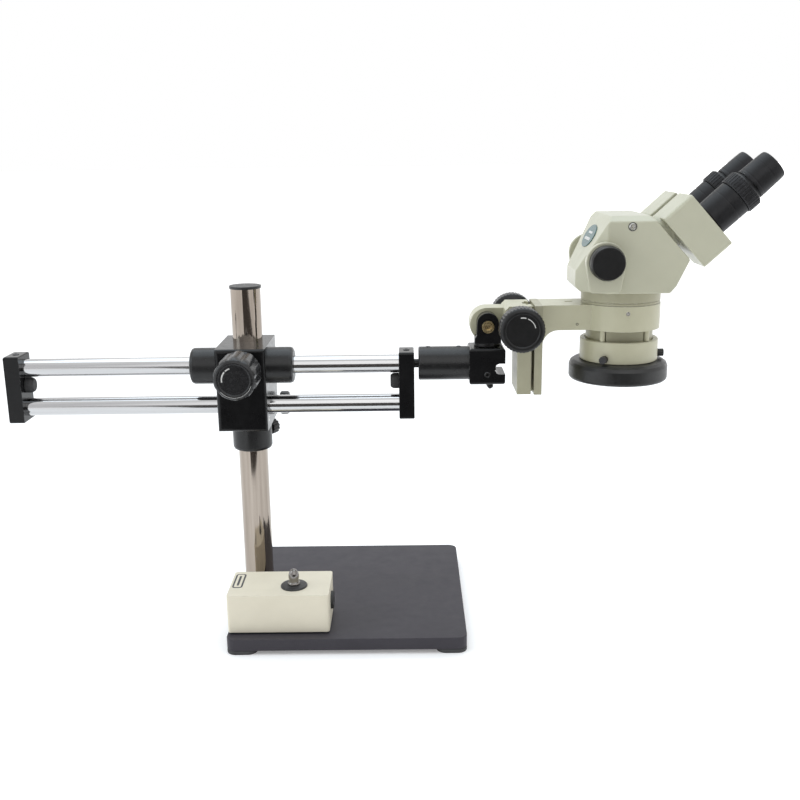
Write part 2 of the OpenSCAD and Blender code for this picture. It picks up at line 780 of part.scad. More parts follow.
module prism_housing(m) {
  color([0.86, 0.85, 0.79]) optics() translate([0, bar_y, 0]) difference() {
    union() {
      translate([0, 0, house_n0]) linear_extrude(height = house_n1 - house_n0) housing_plan(m, 0);
      translate([pivot_t, m * pivot_y, slope_n + 0.5]) cylinder(r = 19, h = house_n0 - slope_n);
      translate([pivot_t, m * pivot_y, slope_n - 8]) cylinder(r = 14, h = 14);
    }
    translate([0, 0, house_n0 + 3]) linear_extrude(height = house_n1 - house_n0 - 6) housing_plan(m, 3);
    translate([pivot_t, m * pivot_y, slope_n - 9]) cylinder(r = 10, h = 20);
    translate([eye_t, m * eye_gap / 2, house_n1 - 5]) cylinder(r = 15.05, h = 10);
  }
}

module prism_housing_near() {
  prism_housing(-1);
}

module prism_housing_far() {
  prism_housing(1);
}

module eye_tube(m) {
  color([0.07, 0.07, 0.075]) optics() translate([eye_t, bar_y + m * eye_gap / 2, 0]) rotate_extrude()
    polygon([[15 + run, house_n1], [17.4, house_n1], [18, house_n1 + 0.8], [18.4, lip_n], [16.4, lip_n],
             [16.4, lip_n + 14.6], [15 + run, lip_n + 14.6]]);
}

module eye_tube_near() {
  eye_tube(-1);
}

module eye_tube_far() {
  eye_tube(1);
}

module dioptre_ring(m) {
  color([0.06, 0.06, 0.065]) optics() translate([eye_t, bar_y + m * eye_gap / 2, lip_n + 0.3])
    difference() {
      intersection() {
        linear_extrude(height = 14.2) fluted(20.1, 36, 1.0);
        rotate_extrude() polygon([[0, 0], [19.2, 0], [20.1, 1.2], [20.1, 12.6], [18.6, 14.2], [0, 14.2]]);
      }
      translate([0, 0, -1]) cylinder(r = 16.47, h = 20);
    }
}

module dioptre_ring_near() {
  dioptre_ring(-1);
}

module dioptre_ring_far() {
  dioptre_ring(1);
}

module eyepiece(m) {
  color([0.07, 0.07, 0.075]) optics() translate([eye_t, bar_y + m * eye_gap / 2, 0]) rotate_extrude()
    polygon([[12.4, 646], [15, 646], [15, 689], [16.2, 689.4], [16.4, 691], [15.7, 716.5], [15.1, 719],
             [13.4, 719.2], [12.6, 717.4], [12.2, 710], [12.4, 700]]);
}

module eyepiece_near() {
  eyepiece(-1);
}

module eyepiece_far() {
  eyepiece(1);
}

module eye_lens(m) {
  color([0.55, 0.60, 0.70, 0.5]) optics() translate([eye_t, bar_y + m * eye_gap / 2, 701])
    cylinder(r = 12.15, h = 5);
}

module eye_lens_near() {
  eye_lens(-1);
}

module eye_lens_far() {
  eye_lens(1);
}

translate([frame_x, 0, 0]) {
  base_plate();
  base_feet();
  post();
  post_cap();
  post_bolt();
  box_shell();
  box_floor();
  box_dial();
  box_socket();
  box_knob();
  box_switch();
  collar();
  collar_screw();
  block_body();
  bearing_sleeves();
  front_knob();
  rear_knob();
  bar_upper();
  bar_lower();
  end_plate_left();
  end_plate_right();
  bumpers();
  roll_barrel();
  swivel_cube();
  lock_lever();
  spindle();
  tilt_ear();
  tilt_bolt();
  mount_body();
  fixed_rail();
  pinion();
  focus_knob_near();
  focus_knob_far();
  slide_rail();
  focus_arm();
  ring_screw();
  head_neck();
  head_body();
  head_badge();
  lower_housing();
  objective_lens();
  light_adaptor();
  adaptor_screw_a();
  adaptor_screw_b();
  adaptor_screw_c();
  lamp_body();
  lamp_board();
  lamp_leds();
  zoom_knob_near();
  zoom_knob_far();
  prism_housing_near();
  prism_housing_far();
  eye_tube_near();
  eye_tube_far();
  dioptre_ring_near();
  dioptre_ring_far();
  eyepiece_near();
  eyepiece_far();
  eye_lens_near();
  eye_lens_far();
}
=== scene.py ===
# %% [markdown]
# # A stereo zoom microscope on a double-bar boom stand
# The moving parts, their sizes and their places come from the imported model, which is loaded once
# and never moved. The cells below give each part its finish, swap the castings and knobs for
# softer, more detailed pieces, add the small screws and plates, and set up a plain studio.

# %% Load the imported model
import json
import math

import bmesh
import bpy
from mathutils import Matrix, Vector


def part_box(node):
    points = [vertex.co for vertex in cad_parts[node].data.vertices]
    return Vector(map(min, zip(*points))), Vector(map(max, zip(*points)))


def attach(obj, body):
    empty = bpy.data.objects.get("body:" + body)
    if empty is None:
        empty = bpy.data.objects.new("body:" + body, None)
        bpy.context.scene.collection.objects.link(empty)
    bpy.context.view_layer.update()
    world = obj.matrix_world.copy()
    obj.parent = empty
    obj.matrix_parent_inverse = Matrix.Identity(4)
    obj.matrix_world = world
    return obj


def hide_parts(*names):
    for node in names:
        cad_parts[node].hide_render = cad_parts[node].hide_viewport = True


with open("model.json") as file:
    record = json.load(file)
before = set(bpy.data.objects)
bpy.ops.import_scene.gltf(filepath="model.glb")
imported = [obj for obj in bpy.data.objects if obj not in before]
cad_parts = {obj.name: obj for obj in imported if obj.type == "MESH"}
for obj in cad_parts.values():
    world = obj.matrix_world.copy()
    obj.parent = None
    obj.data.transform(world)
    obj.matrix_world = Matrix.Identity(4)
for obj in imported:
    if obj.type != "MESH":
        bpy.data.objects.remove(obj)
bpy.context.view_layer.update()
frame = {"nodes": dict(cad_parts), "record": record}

nodes = frame["nodes"]

# %% [markdown]
# ## Places
# The drawing is in millimetres from the post's axis at the floor. The frame is in metres, with its
# origin under the middle of the whole object. One matrix turns the first into the second, so
# every new piece can be built with the drawing's own numbers.

# %% From drawing millimetres to the frame
MM = 0.001
POST_X = sum(corner.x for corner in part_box("post")) / 2
TO_FRAME = Matrix.Translation((POST_X, 0, 0)) @ Matrix.Scale(MM, 4)
BAR_Y = sum(corner.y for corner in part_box("bar_upper")) / 2 / MM
BAR_Z = sum(corner.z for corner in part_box("bar_upper")) / 2 / MM
SCOPE_X = (sum(corner.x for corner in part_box("lamp_body")) / 2 - POST_X) / MM


def at(x, y, z):
    """A point in the frame, from drawing millimetres."""
    return TO_FRAME @ Vector((x, y, z))


print(f"post axis at x = {POST_X:.4f} m, bars at y = {BAR_Y:.1f} mm, "
      f"microscope at x = {SCOPE_X:.1f} mm")

# %% [markdown]
# ## The camera
# A tool on a bench is seen from a little above, so the camera stands about a metre away with a
# normal lens, looks 14 degrees down and leans by less than one degree. It comes first, so that
# every later piece can be judged through it.

# %% Camera
CAMERA_AT = (173.0, -1059.1, 505.2)
LOOK_DOWN, LOOK_LEFT, LEAN = (math.radians(v) for v in (14.1, 0.5, -0.8))
LENS = 44.78

ahead = Vector((-math.sin(LOOK_LEFT) * math.cos(LOOK_DOWN),
                math.cos(LOOK_LEFT) * math.cos(LOOK_DOWN),
                -math.sin(LOOK_DOWN)))
level = Vector((math.cos(LOOK_LEFT), math.sin(LOOK_LEFT), 0))
upright = level.cross(ahead)
right = math.cos(LEAN) * level + math.sin(LEAN) * upright
top = -math.sin(LEAN) * level + math.cos(LEAN) * upright

camera_data = bpy.data.cameras.new("studio_camera")
camera_data.lens = LENS
camera_data.sensor_width = 36
camera_data.clip_end = 100
camera_data.dof.use_dof = False
camera = bpy.data.objects.new("studio_camera", camera_data)
bpy.context.scene.collection.objects.link(camera)
facing = Matrix((right, top, -ahead)).transposed().to_4x4()
camera.matrix_world = Matrix.Translation(at(*CAMERA_AT)) @ facing
bpy.context.scene.camera = camera
print("camera at", [round(v, 3) for v in camera.matrix_world.translation])

# %% [markdown]
# ## Finishes
# Each finish is a small network of nodes around one Principled shader. Nothing on a real tool is
# one flat colour: paint varies a little from patch to patch, its roughness changes where hands
# touch it, its skin has a fine grain, and its edges wear. The helper below adds a node and
# fills its sockets, so each network reads from top to bottom.

# %% A helper for shader nodes
def add(tree, kind, inputs=None, **settings):
    """Adds a node; inputs are numbers, colours or other nodes' sockets."""
    made = tree.nodes.new(kind)
    for key, value in settings.items():
        setattr(made, key, value)
    for key, value in (inputs or {}).items():
        if isinstance(value, bpy.types.NodeSocket):
            tree.links.new(value, made.inputs[key])
        else:
            made.inputs[key].default_value = value
    return made


def cloud(tree, size_mm, detail=3.0, stretch=(1, 1, 1)):
    """Soft noise with blobs about size_mm across, longer along an axis where stretch is small."""
    where = add(tree, "ShaderNodeTexCoord")
    mapped = add(tree, "ShaderNodeMapping", {"Vector": where.outputs["Object"], "Scale": stretch})
    return add(tree, "ShaderNodeTexNoise",
               {"Vector": mapped.outputs["Vector"], "Scale": 1 / (size_mm * MM), "Detail": detail,
                "Roughness": 0.55}).outputs["Fac"]


def spread(tree, value, low, high, start=0.3, end=0.7):
    """Maps noise between start and end onto low to high."""
    made = add(tree, "ShaderNodeMapRange",
               {"Value": value, "From Min": start, "From Max": end, "To Min": low, "To Max": high})
    return made.outputs["Result"]


def blended(tree, factor, a, b):
    """Two colours mixed by a factor."""
    made = add(tree, "ShaderNodeMix", data_type="RGBA")
    for socket, value in zip((made.inputs[0], made.inputs[6], made.inputs[7]), (factor, a, b)):
        if isinstance(value, bpy.types.NodeSocket):
            tree.links.new(value, socket)
        else:
            socket.default_value = (*value, 1) if isinstance(value, tuple) else value
    return made.outputs[2]


def times(tree, a, b):
    """Two values multiplied."""
    made = add(tree, "ShaderNodeMath", {0: a, 1: b}, operation="MULTIPLY")
    return made.outputs[0]


print("shader helpers ready")

# %% [markdown]
# Worn edges and settled dust come from the shape itself. A Bevel node gives the normal that a
# rounded edge would have: where it differs from the true normal there is an edge. Dust needs
# only a face that points up.

# %% Masks for edges and dust
def edge_mask(tree, width_mm):
    """One on edges, zero on flats, broken up by noise."""
    soft = add(tree, "ShaderNodeBevel", {"Radius": width_mm * MM}, samples=4)
    hard = add(tree, "ShaderNodeNewGeometry")
    match = add(tree, "ShaderNodeVectorMath",
                {0: soft.outputs["Normal"], 1: hard.outputs["Normal"]}, operation="DOT_PRODUCT")
    edge = spread(tree, match.outputs["Value"], 1.0, 0.0, 0.86, 0.985)
    return times(tree, edge, spread(tree, cloud(tree, 3.5), 0.0, 1.0, 0.42, 0.62))


def dust_mask(tree, amount):
    """More on faces that point up, patchy."""
    hard = add(tree, "ShaderNodeNewGeometry")
    split = add(tree, "ShaderNodeSeparateXYZ", {0: hard.outputs["Normal"]})
    upward = spread(tree, split.outputs["Z"], 0.0, amount, 0.35, 1.0)
    return times(tree, upward, spread(tree, cloud(tree, 9, 6), 0.15, 1.0))


print("edge and dust masks ready")

# %% [markdown]
# One helper makes every opaque finish. It mixes two close tones in soft patches, lets the
# roughness wander, presses a fine grain into the normal, and adds worn edges and dust. What is
# even all over, such as metallic or coat, is set on the shader itself.

# %% The coating helper
EDGE_MM, GRAIN_DEPTH_MM = 0.7, 0.12
DUST_TONE = (0.46, 0.44, 0.40)


def coated(name, tone, shade, rough, patch_mm=22, grain_mm=0.7, bump=0.12, wear=None, dust=0.0,
           metallic=0.0, coat=0.0, gloss=0.5, stretch=(1, 1, 1)):
    """A paint or plastic: two close tones, a roughness range, a grain, worn edges and dust."""
    material = bpy.data.materials.new(name)
    material.use_nodes = True
    tree = material.node_tree
    shader = tree.nodes["Principled BSDF"]
    colour = blended(tree, spread(tree, cloud(tree, patch_mm, 4, stretch), 0, 1), tone, shade)
    if wear:
        colour = blended(tree, edge_mask(tree, EDGE_MM), colour, wear)
    if dust:
        colour = blended(tree, dust_mask(tree, dust), colour, DUST_TONE)
    tree.links.new(colour, shader.inputs["Base Color"])
    wander = spread(tree, cloud(tree, patch_mm / 3, 5, stretch), *rough)
    tree.links.new(wander, shader.inputs["Roughness"])
    skin = add(tree, "ShaderNodeBump",
               {"Height": cloud(tree, grain_mm, 2, stretch), "Strength": bump,
                "Distance": GRAIN_DEPTH_MM * MM})
    tree.links.new(skin.outputs["Normal"], shader.inputs["Normal"])
    shader.inputs["Metallic"].default_value = metallic
    shader.inputs["Coat Weight"].default_value = coat
    shader.inputs["Specular IOR Level"].default_value = gloss
    shader.inputs["Coat Roughness"].default_value = 0.12
    return material


print("coating helper ready")

# %% [markdown]
# The stand's castings are enamelled or anodised black, and the base is a charcoal powder coat
# with a pebbled skin and warm metal showing at its edges. Tones are linear values. Rubber is
# the roughest and mirrors least.

# %% Black and charcoal coats
finishes = {}
finishes["base_paint"] = coated(
    "charcoal powder coat", (0.050, 0.047, 0.055), (0.057, 0.053, 0.062), (0.34, 0.44),
    patch_mm=60, grain_mm=0.9, bump=0.4, wear=(0.24, 0.20, 0.15), dust=0.02, gloss=0.12)
finishes["black_enamel"] = coated(
    "black stove enamel", (0.005, 0.005, 0.0055), (0.009, 0.009, 0.0095), (0.13, 0.24),
    patch_mm=18, grain_mm=1.6, bump=0.12, wear=(0.16, 0.16, 0.16), dust=0.02, coat=0.04, gloss=0.2)
finishes["black_satin"] = coated(
    "black anodised aluminium", (0.006, 0.006, 0.0065), (0.011, 0.011, 0.0115), (0.26, 0.36),
    patch_mm=14, grain_mm=0.25, bump=0.05, wear=(0.11, 0.11, 0.11), dust=0.02, gloss=0.4)
finishes["eye_black"] = coated(
    "black eyepiece lacquer", (0.005, 0.005, 0.006), (0.009, 0.009, 0.0105), (0.34, 0.46),
    patch_mm=8, grain_mm=0.3, bump=0.2, wear=(0.08, 0.08, 0.09), dust=0.02, gloss=0.28)
finishes["foot_rubber"] = coated(
    "foot rubber", (0.036, 0.036, 0.038), (0.046, 0.046, 0.048), (0.65, 0.82),
    patch_mm=8, grain_mm=0.4, bump=0.3)
finishes["bumper_rubber"] = coated(
    "bumper rubber", (0.016, 0.016, 0.017), (0.026, 0.026, 0.027), (0.6, 0.75),
    patch_mm=5, grain_mm=0.3, bump=0.3)
print("charcoal base, black castings, lacquer and rubber")

# %% [markdown]
# Moulded knobs are a touch rougher than enamel and their tone varies over a smaller patch. The
# clamp knob is the glossiest, as it is handled least.

# %% Moulded plastics
finishes["black_plastic"] = coated(
    "black knob plastic", (0.011, 0.011, 0.012), (0.018, 0.018, 0.019), (0.34, 0.48),
    patch_mm=9, grain_mm=0.35, bump=0.25, wear=(0.05, 0.05, 0.052), dust=0.035)
finishes["black_gloss_plastic"] = coated(
    "glossy knob plastic", (0.009, 0.009, 0.010), (0.015, 0.015, 0.016), (0.20, 0.34),
    patch_mm=10, grain_mm=0.8, bump=0.05, wear=(0.05, 0.05, 0.052), dust=0.02, gloss=0.4)
finishes["knob_plastic"] = coated(
    "black microscope knobs", (0.006, 0.006, 0.006), (0.010, 0.010, 0.0105), (0.28, 0.42),
    patch_mm=8, grain_mm=0.3, bump=0.2, wear=(0.05, 0.05, 0.052), dust=0.02, gloss=0.35)
finishes["lamp_plastic"] = coated(
    "ring light housing", (0.008, 0.008, 0.008), (0.013, 0.013, 0.013), (0.30, 0.44),
    patch_mm=12, grain_mm=0.45, bump=0.3, wear=(0.06, 0.06, 0.06), dust=0.035)
finishes["lamp_white"] = coated(
    "white circuit board", (0.78, 0.78, 0.76), (0.70, 0.70, 0.68), (0.4, 0.55),
    patch_mm=6, grain_mm=0.4, bump=0.1)
print("knob, lamp and board plastics")

# %% [markdown]
# The microscope is ivory stove enamel with a faint green cast. The lamp box is a paler powder coat.
# The rails, the neck and the housing under the head get a darker, browner enamel: painted shade for
# the shadow under the head and arm, and on the rails a browner paint as well.

# %% Ivory enamels
finishes["cream_box"] = coated(
    "ivory powder coat", (0.745, 0.695, 0.56), (0.705, 0.655, 0.525), (0.42, 0.55),
    patch_mm=26, grain_mm=0.8, bump=0.4, wear=(0.80, 0.79, 0.70), dust=0.02)
finishes["cream_paint"] = coated(
    "ivory stove enamel", (0.485, 0.47, 0.335), (0.455, 0.44, 0.31), (0.30, 0.42),
    patch_mm=24, grain_mm=1.1, bump=0.16, wear=(0.64, 0.64, 0.55), dust=0.02, coat=0.15)
# Painted shade: this darker ivory paints the shadow on the neck, the housing below it and the
# rails, with the rails' browner paint in it too.
finishes["cream_painted_shade"] = coated(
    "ivory enamel with painted shade", (0.37, 0.355, 0.245), (0.34, 0.325, 0.225), (0.34, 0.46),
    patch_mm=20, grain_mm=1.1, bump=0.16, wear=(0.50, 0.49, 0.40), dust=0.02, coat=0.1)
finishes["cream_head"] = coated(
    "ivory head enamel", (0.48, 0.475, 0.36), (0.455, 0.45, 0.34), (0.28, 0.40),
    patch_mm=30, grain_mm=1.2, bump=0.14, wear=(0.65, 0.65, 0.57), dust=0.02, coat=0.2)
print("four ivory enamels")

# %% [markdown]
# The badge is a glossy teal enamel, and all the marks are two plain prints, dark and white.

# %% Badge and print
finishes["badge"] = coated(
    "oval badge", (0.012, 0.075, 0.080), (0.020, 0.105, 0.105), (0.15, 0.25),
    patch_mm=5, grain_mm=0.3, bump=0.05)
finishes["dark_print"] = coated(
    "dark print", (0.035, 0.037, 0.040), (0.06, 0.06, 0.062), (0.4, 0.5),
    patch_mm=3, grain_mm=0.3, bump=0.05)
finishes["white_print"] = coated(
    "white print", (0.62, 0.62, 0.60), (0.50, 0.50, 0.48), (0.5, 0.6),
    patch_mm=2, grain_mm=0.3, bump=0.05)
print("badge and print")

# %% [markdown]
# Chrome and steel take nearly all their look from what they mirror, so their colour stays nearly
# even and the roughness does the work: it is drawn out along the bar, as polishing leaves it.
# The black oxide of the clamp screws is the same network, but dark. The post's darker, browner tone
# is a painted reflection of a dim, warm room.

# %% Metals
ALONG_X, ALONG_Z = (0.04, 1, 1), (1, 1, 0.04)
finishes["chrome_bar"] = coated(
    "polished chrome bar", (0.56, 0.56, 0.565), (0.50, 0.50, 0.505), (0.07, 0.13),
    patch_mm=6, grain_mm=0.5, bump=0.015, metallic=1.0, stretch=ALONG_X)
# Painted reflection: the post's dark brown tone stands for the dim, warm room it mirrors.
finishes["chrome_post"] = coated(
    "polished chrome post", (0.42, 0.365, 0.315), (0.31, 0.265, 0.225), (0.05, 0.12),
    patch_mm=5, grain_mm=0.6, bump=0.03, metallic=1.0, stretch=ALONG_Z)
finishes["plain_steel"] = coated(
    "bright steel", (0.80, 0.79, 0.76), (0.70, 0.69, 0.66), (0.22, 0.36),
    patch_mm=4, grain_mm=0.3, bump=0.1, metallic=1.0)
finishes["knob_metal"] = coated(
    "dark plated knob metal", (0.24, 0.225, 0.215), (0.19, 0.18, 0.17), (0.10, 0.18),
    patch_mm=3, grain_mm=0.5, bump=0.03, metallic=1.0)
finishes["bolt_brass"] = coated(
    "brassy tilt bolt", (0.62, 0.50, 0.28), (0.50, 0.39, 0.20), (0.22, 0.36),
    patch_mm=3, grain_mm=0.3, bump=0.12, metallic=1.0)
finishes["black_oxide"] = coated(
    "black oxide screw", (0.05, 0.05, 0.052), (0.09, 0.09, 0.092), (0.28, 0.42),
    patch_mm=2, grain_mm=0.2, bump=0.15, wear=(0.3, 0.3, 0.3), metallic=1.0)
print("metals: chrome, steel, brass and black oxide")

# %% [markdown]
# Lenses and LED domes are clear. The glass has a faint bluish tint from its coating and smears
# that change its roughness a little.

# %% Glass and clear plastic
def clear(name, tint, rough, ior):
    """A glass or clear plastic, a shade deeper in patches."""
    deeper = tuple(0.94 * c for c in tint)
    material = coated(name, tint, deeper, rough, patch_mm=7, grain_mm=3.0, bump=0.02)
    shader = material.node_tree.nodes["Principled BSDF"]
    shader.inputs["Transmission Weight"].default_value = 0.85
    shader.inputs["IOR"].default_value = ior
    return material


finishes["lens_glass"] = clear("coated lens glass", (0.62, 0.70, 0.80), (0.02, 0.06), 1.52)
finishes["led_clear"] = clear("LED dome", (0.92, 0.93, 0.88), (0.05, 0.14), 1.49)
print("glass and LED domes")

# %% [markdown]
# ## Making and finishing a piece
# Every new piece is a bmesh in drawing millimetres. At the end its mesh is moved into the frame,
# shaded smooth except at real corners, given a finish, and tied to the body it moves with.
# A Weighted Normal modifier keeps the large flats flat beside their rounded edges.

# %% From a bmesh to a finished piece
def finish_piece(bm, name, body, slot, replaced=(), finish=None, corner=35):
    """Makes the object, moves its mesh into the frame and ties it to its body."""
    bmesh.ops.transform(bm, matrix=TO_FRAME, verts=bm.verts)
    mesh = bpy.data.meshes.new(name)
    bm.to_mesh(mesh)
    bm.free()
    mesh.shade_smooth()
    mesh.set_sharp_from_angle(angle=math.radians(corner))
    mesh.materials.append(finishes[finish or slot])
    piece = bpy.data.objects.new(name, mesh)
    bpy.context.scene.collection.objects.link(piece)
    flats = piece.modifiers.new("flat faces stay flat", "WEIGHTED_NORMAL")
    flats.keep_sharp = True
    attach(piece, body)
    if replaced:
        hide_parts(*replaced)
    return piece


def closed(bm):
    """Merges doubles, then turns every face outwards."""
    bmesh.ops.remove_doubles(bm, verts=bm.verts, dist=0.0005)
    bmesh.ops.recalc_face_normals(bm, faces=bm.faces)
    return bm


def round_edges(bm, width, segments=3, corner=30):
    """Rounds every edge sharper than corner degrees."""
    sharp = [e for e in bm.edges if e.is_manifold and e.calc_face_angle(0) > math.radians(corner)]
    bmesh.ops.bevel(bm, geom=sharp, offset=width, offset_type="OFFSET", affect="EDGES",
                    segments=segments, profile=0.5, material=-1, clamp_overlap=True)
    return bm


def joined(parts):
    """Several bmeshes as one."""
    whole = bmesh.new()
    for part in parts:
        lump = bpy.data.meshes.new("lump")
        part.to_mesh(lump)
        part.free()
        whole.from_mesh(lump)
        bpy.data.meshes.remove(lump)
    return whole


print("piece helpers ready")

# %% [markdown]
# Most machined parts are right as drawn and only need their corners broken, as a file or a tumbler
# would do. A copy of the node's mesh is merged, its triangles are joined into flat faces, and then
# its sharp edges are rounded. The record says which body and slot each node has. The rails, the
# neck and the housing below it wear a darker enamel, which is painted shade for the shadow under
# the head and arm.

# %% A drawn part with softened edges
slot_of = {row["node"]: row["material_slot"] for row in frame["record"]["subparts"]}
bodies = frame["record"]["behaviour"]["bodies"]
body_of = {node: body for body, members in bodies.items() for node in members}
# Parts in the shadow of the head and arm get a darker enamel: painted shade.
PAINTED_SHADE_PARTS = ("fixed_rail", "slide_rail", "lower_housing", "head_neck")


def finish_of(node):
    """The finish a node gets: its slot's, unless it takes the darker enamel that paints shade."""
    return "cream_painted_shade" if node in PAINTED_SHADE_PARTS else slot_of[node]


def soften(node, width):
    """Replaces a node by a copy whose edges are rounded by width millimetres."""
    bm = bmesh.new()
    bm.from_mesh(nodes[node].data)
    bmesh.ops.transform(bm, matrix=TO_FRAME.inverted(), verts=bm.verts)
    bmesh.ops.remove_doubles(bm, verts=bm.verts, dist=0.002)
    bmesh.ops.dissolve_limit(bm, angle_limit=math.radians(0.5), verts=bm.verts, edges=bm.edges)
    round_edges(bm, width, segments=2)
    return finish_piece(bm, node + "_softened", body_of[node], slot_of[node], (node,),
                        finish_of(node))


SOFTENED = {
    "base_plate": 0.8, "base_feet": 0.7, "post_cap": 0.5,
    "box_shell": 0.9, "box_floor": 0.4, "box_switch": 0.4,
    "collar_screw": 0.35, "block_body": 1.8,
    "end_plate_left": 0.7, "end_plate_right": 0.7, "bumpers": 0.6,
    "swivel_cube": 0.7, "lock_lever": 0.5, "spindle": 0.4, "tilt_ear": 0.9, "tilt_bolt": 0.4,
    "mount_body": 1.0, "fixed_rail": 0.7, "slide_rail": 0.5, "focus_arm": 1.2,
    "lower_housing": 0.4, "zoom_knob_far": 0.3, "zoom_knob_near": 0.3,
}
for node, width in SOFTENED.items():
    piece = soften(node, width)
    print(f"{piece.name}: {len(piece.data.polygons)} faces")

# %% [markdown]
# The turned and toothed parts stay as drawn, because a turned part is already round. They get
# their finish through their own material slots.

# %% Parts kept as drawn
for node, shape in nodes.items():
    shape.data.materials.clear()
    shape.data.materials.append(finishes[finish_of(node)])
print(f"{len(nodes) - len(SOFTENED)} nodes keep their own mesh for now")

# %% [markdown]
# ## Shapes to build with
# Three ways of making a solid cover the whole tool: a lathe profile spun round an axis, a flat
# outline carried through the air, and a plane cut that trims a corner off. Each is a few bmesh
# operators. `aim` stands a shape that was made along Z on any axis.

# %% Lathe, outline and trim
def turned(profile, steps=64):
    """A lathe shape about Z from [radius, height] pairs."""
    bm = bmesh.new()
    points = [bm.verts.new((r, 0, z)) for r, z in profile]
    line = [bm.edges.new(pair) for pair in zip(points, points[1:])]
    bmesh.ops.spin(bm, geom=points + line, cent=(0, 0, 0), axis=(0, 0, 1), angle=2 * math.pi,
                   steps=steps, use_merge=True)
    return closed(bm)


def carried(outline, start, travel):
    """A flat outline carried along travel; start turns each of its 2D points into a 3D one."""
    bm = bmesh.new()
    face = bm.faces.new([bm.verts.new(start(u, v)) for u, v in outline])
    grown = bmesh.ops.extrude_face_region(bm, geom=[face])
    far_side = [v for v in grown["geom"] if isinstance(v, bmesh.types.BMVert)]
    bmesh.ops.translate(bm, verts=far_side, vec=travel)
    return closed(bm)


def trim(bm, point, outward):
    """Cuts off everything beyond a plane and closes the cut."""
    cut = bmesh.ops.bisect_plane(bm, geom=bm.verts[:] + bm.edges[:] + bm.faces[:],
                                 plane_co=point, plane_no=outward, clear_outer=True)
    rim = [e for e in cut["geom_cut"] if isinstance(e, bmesh.types.BMEdge)]
    bmesh.ops.edgeloop_fill(bm, edges=rim)
    return bm


def aim(where, direction, up="Y"):
    """A matrix that stands a shape made along Z at a place, pointing a given way."""
    return Matrix.Translation(where) @ Vector(direction).to_track_quat("Z", up).to_matrix().to_4x4()


def placed(bm, matrix):
    """The same bmesh, moved by a matrix."""
    bmesh.ops.transform(bm, matrix=matrix, verts=bm.verts)
    return bm


RIGHT, LEFT, NEARER, UP = (1, 0, 0), (-1, 0, 0), (0, -1, 0), (0, 0, 1)
EYE_TILT = 42
optics = Matrix.Rotation(math.radians(90 - EYE_TILT), 4, "Y")
print("lathe, outline and trim ready; the eyepieces look", EYE_TILT, "degrees up")

# %% [markdown]
# ## The microscope's body
# The real body is a thin aluminium casting with generous radii: a blunt nose, sloping front and
# back, and chamfered shoulders. Its side outline is carried across, four planes trim the nose
# and shoulders, and one wide bevel rounds it all. A round boss behind each zoom knob runs down to
# the body's underside like the real side covers.

# %% Body casting
head_lo, head_hi = (tuple(c / MM for c in corner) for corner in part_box("head_body"))
BODY_BOTTOM, BODY_TOP = head_lo[2], head_hi[2]
NEAR_Y, FAR_Y = BAR_Y - 50, BAR_Y + 50
NOSE_X, SLOPE_FOOT, SLOPE_TOP = 341, 386, 371.3
SIDE_OUTLINE = [
    (NOSE_X + 5, BODY_BOTTOM), (NOSE_X, BODY_BOTTOM + 5), (NOSE_X, SLOPE_FOOT),
    (SLOPE_TOP, BODY_TOP), (410.1, BODY_TOP), (448.5, 397.8),
    (436.4, BODY_BOTTOM + 7), (430.5, BODY_BOTTOM)]
NOSE_CUT_X, SHOULDER_Z = 368, BODY_TOP - 5
INSIDE = 400
CASTING_RADIUS = 2.6

casting = carried(SIDE_OUTLINE, lambda x, z: (x, NEAR_Y, z), (0, FAR_Y - NEAR_Y, 0))
for side, face_y in ((-1, NEAR_Y), (1, FAR_Y)):
    trim(casting, (NOSE_CUT_X, face_y, INSIDE), (-24, side * 28, 0))
    trim(casting, (INSIDE, face_y, SHOULDER_Z), (0, side * 5.2, 9))
round_edges(casting, CASTING_RADIUS, segments=4, corner=12)
body_piece = finish_piece(casting, "head_casting", "head", "cream_head", ("head_body",))
print(f"body casting {BODY_TOP - BODY_BOTTOM:.0f} mm tall, {len(body_piece.data.polygons)} faces")

# %% Zoom bosses
ZOOM_X, ZOOM_Z = 366, 397
BOSS_R, BOSS_OUT = 19.6, 7
ARC_FROM, ARC_SWEEP, ARC_STEPS = -8, 196, 48


def boss_outline(radius, foot):
    """A circle that widens into a column down to the foot."""
    arc = [(ZOOM_X + radius * math.cos(a), ZOOM_Z + radius * math.sin(a))
           for a in (math.radians(ARC_FROM + ARC_SWEEP * i / ARC_STEPS)
                     for i in range(ARC_STEPS + 1))]
    return arc + [(ZOOM_X - 15.5, foot + 3), (ZOOM_X - 13, foot),
                  (ZOOM_X + 13, foot), (ZOOM_X + 15.5, foot + 3)]


BOSS_OUTLINE = boss_outline(BOSS_R, BODY_BOTTOM + 1.5)
for name, start_y, travel in (("near", NEAR_Y + 2, -BOSS_OUT), ("far", FAR_Y - 2, BOSS_OUT)):
    boss = carried(BOSS_OUTLINE, lambda x, z: (x, start_y, z), (0, travel, 0))
    round_edges(boss, 1.1, segments=3, corner=40)
    piece = finish_piece(boss, "zoom_boss_" + name, "head", "cream_head")
    print(f"{piece.name}: {len(piece.data.polygons)} faces")

# %% [markdown]
# ## Prism housings
# Each eyepiece sits on its own box, which turns on a round pivot to set the distance between
# the eyes. Seen along the view the box is a rectangle with its inner corner cut back, so that the
# two can close up. The outline is drawn in the slanted frame of the eyepieces.

# %% Prism housings and pivots
HOUSE_FRONT, HOUSE_BACK = 604.9, 639.4
PIVOT_T, PIVOT_Y = -28, 23


def housing_outline(side):
    """The box seen along the view; side is -1 for the near one and 1 for the far one."""
    return [(-44, side * 6.5), (-0.5, side * 6.5), (19.5, side * 12.5), (19.5, side * 49.5),
            (17.5, side * 51.5), (-42, side * 51.5), (-44, side * 49.5)]


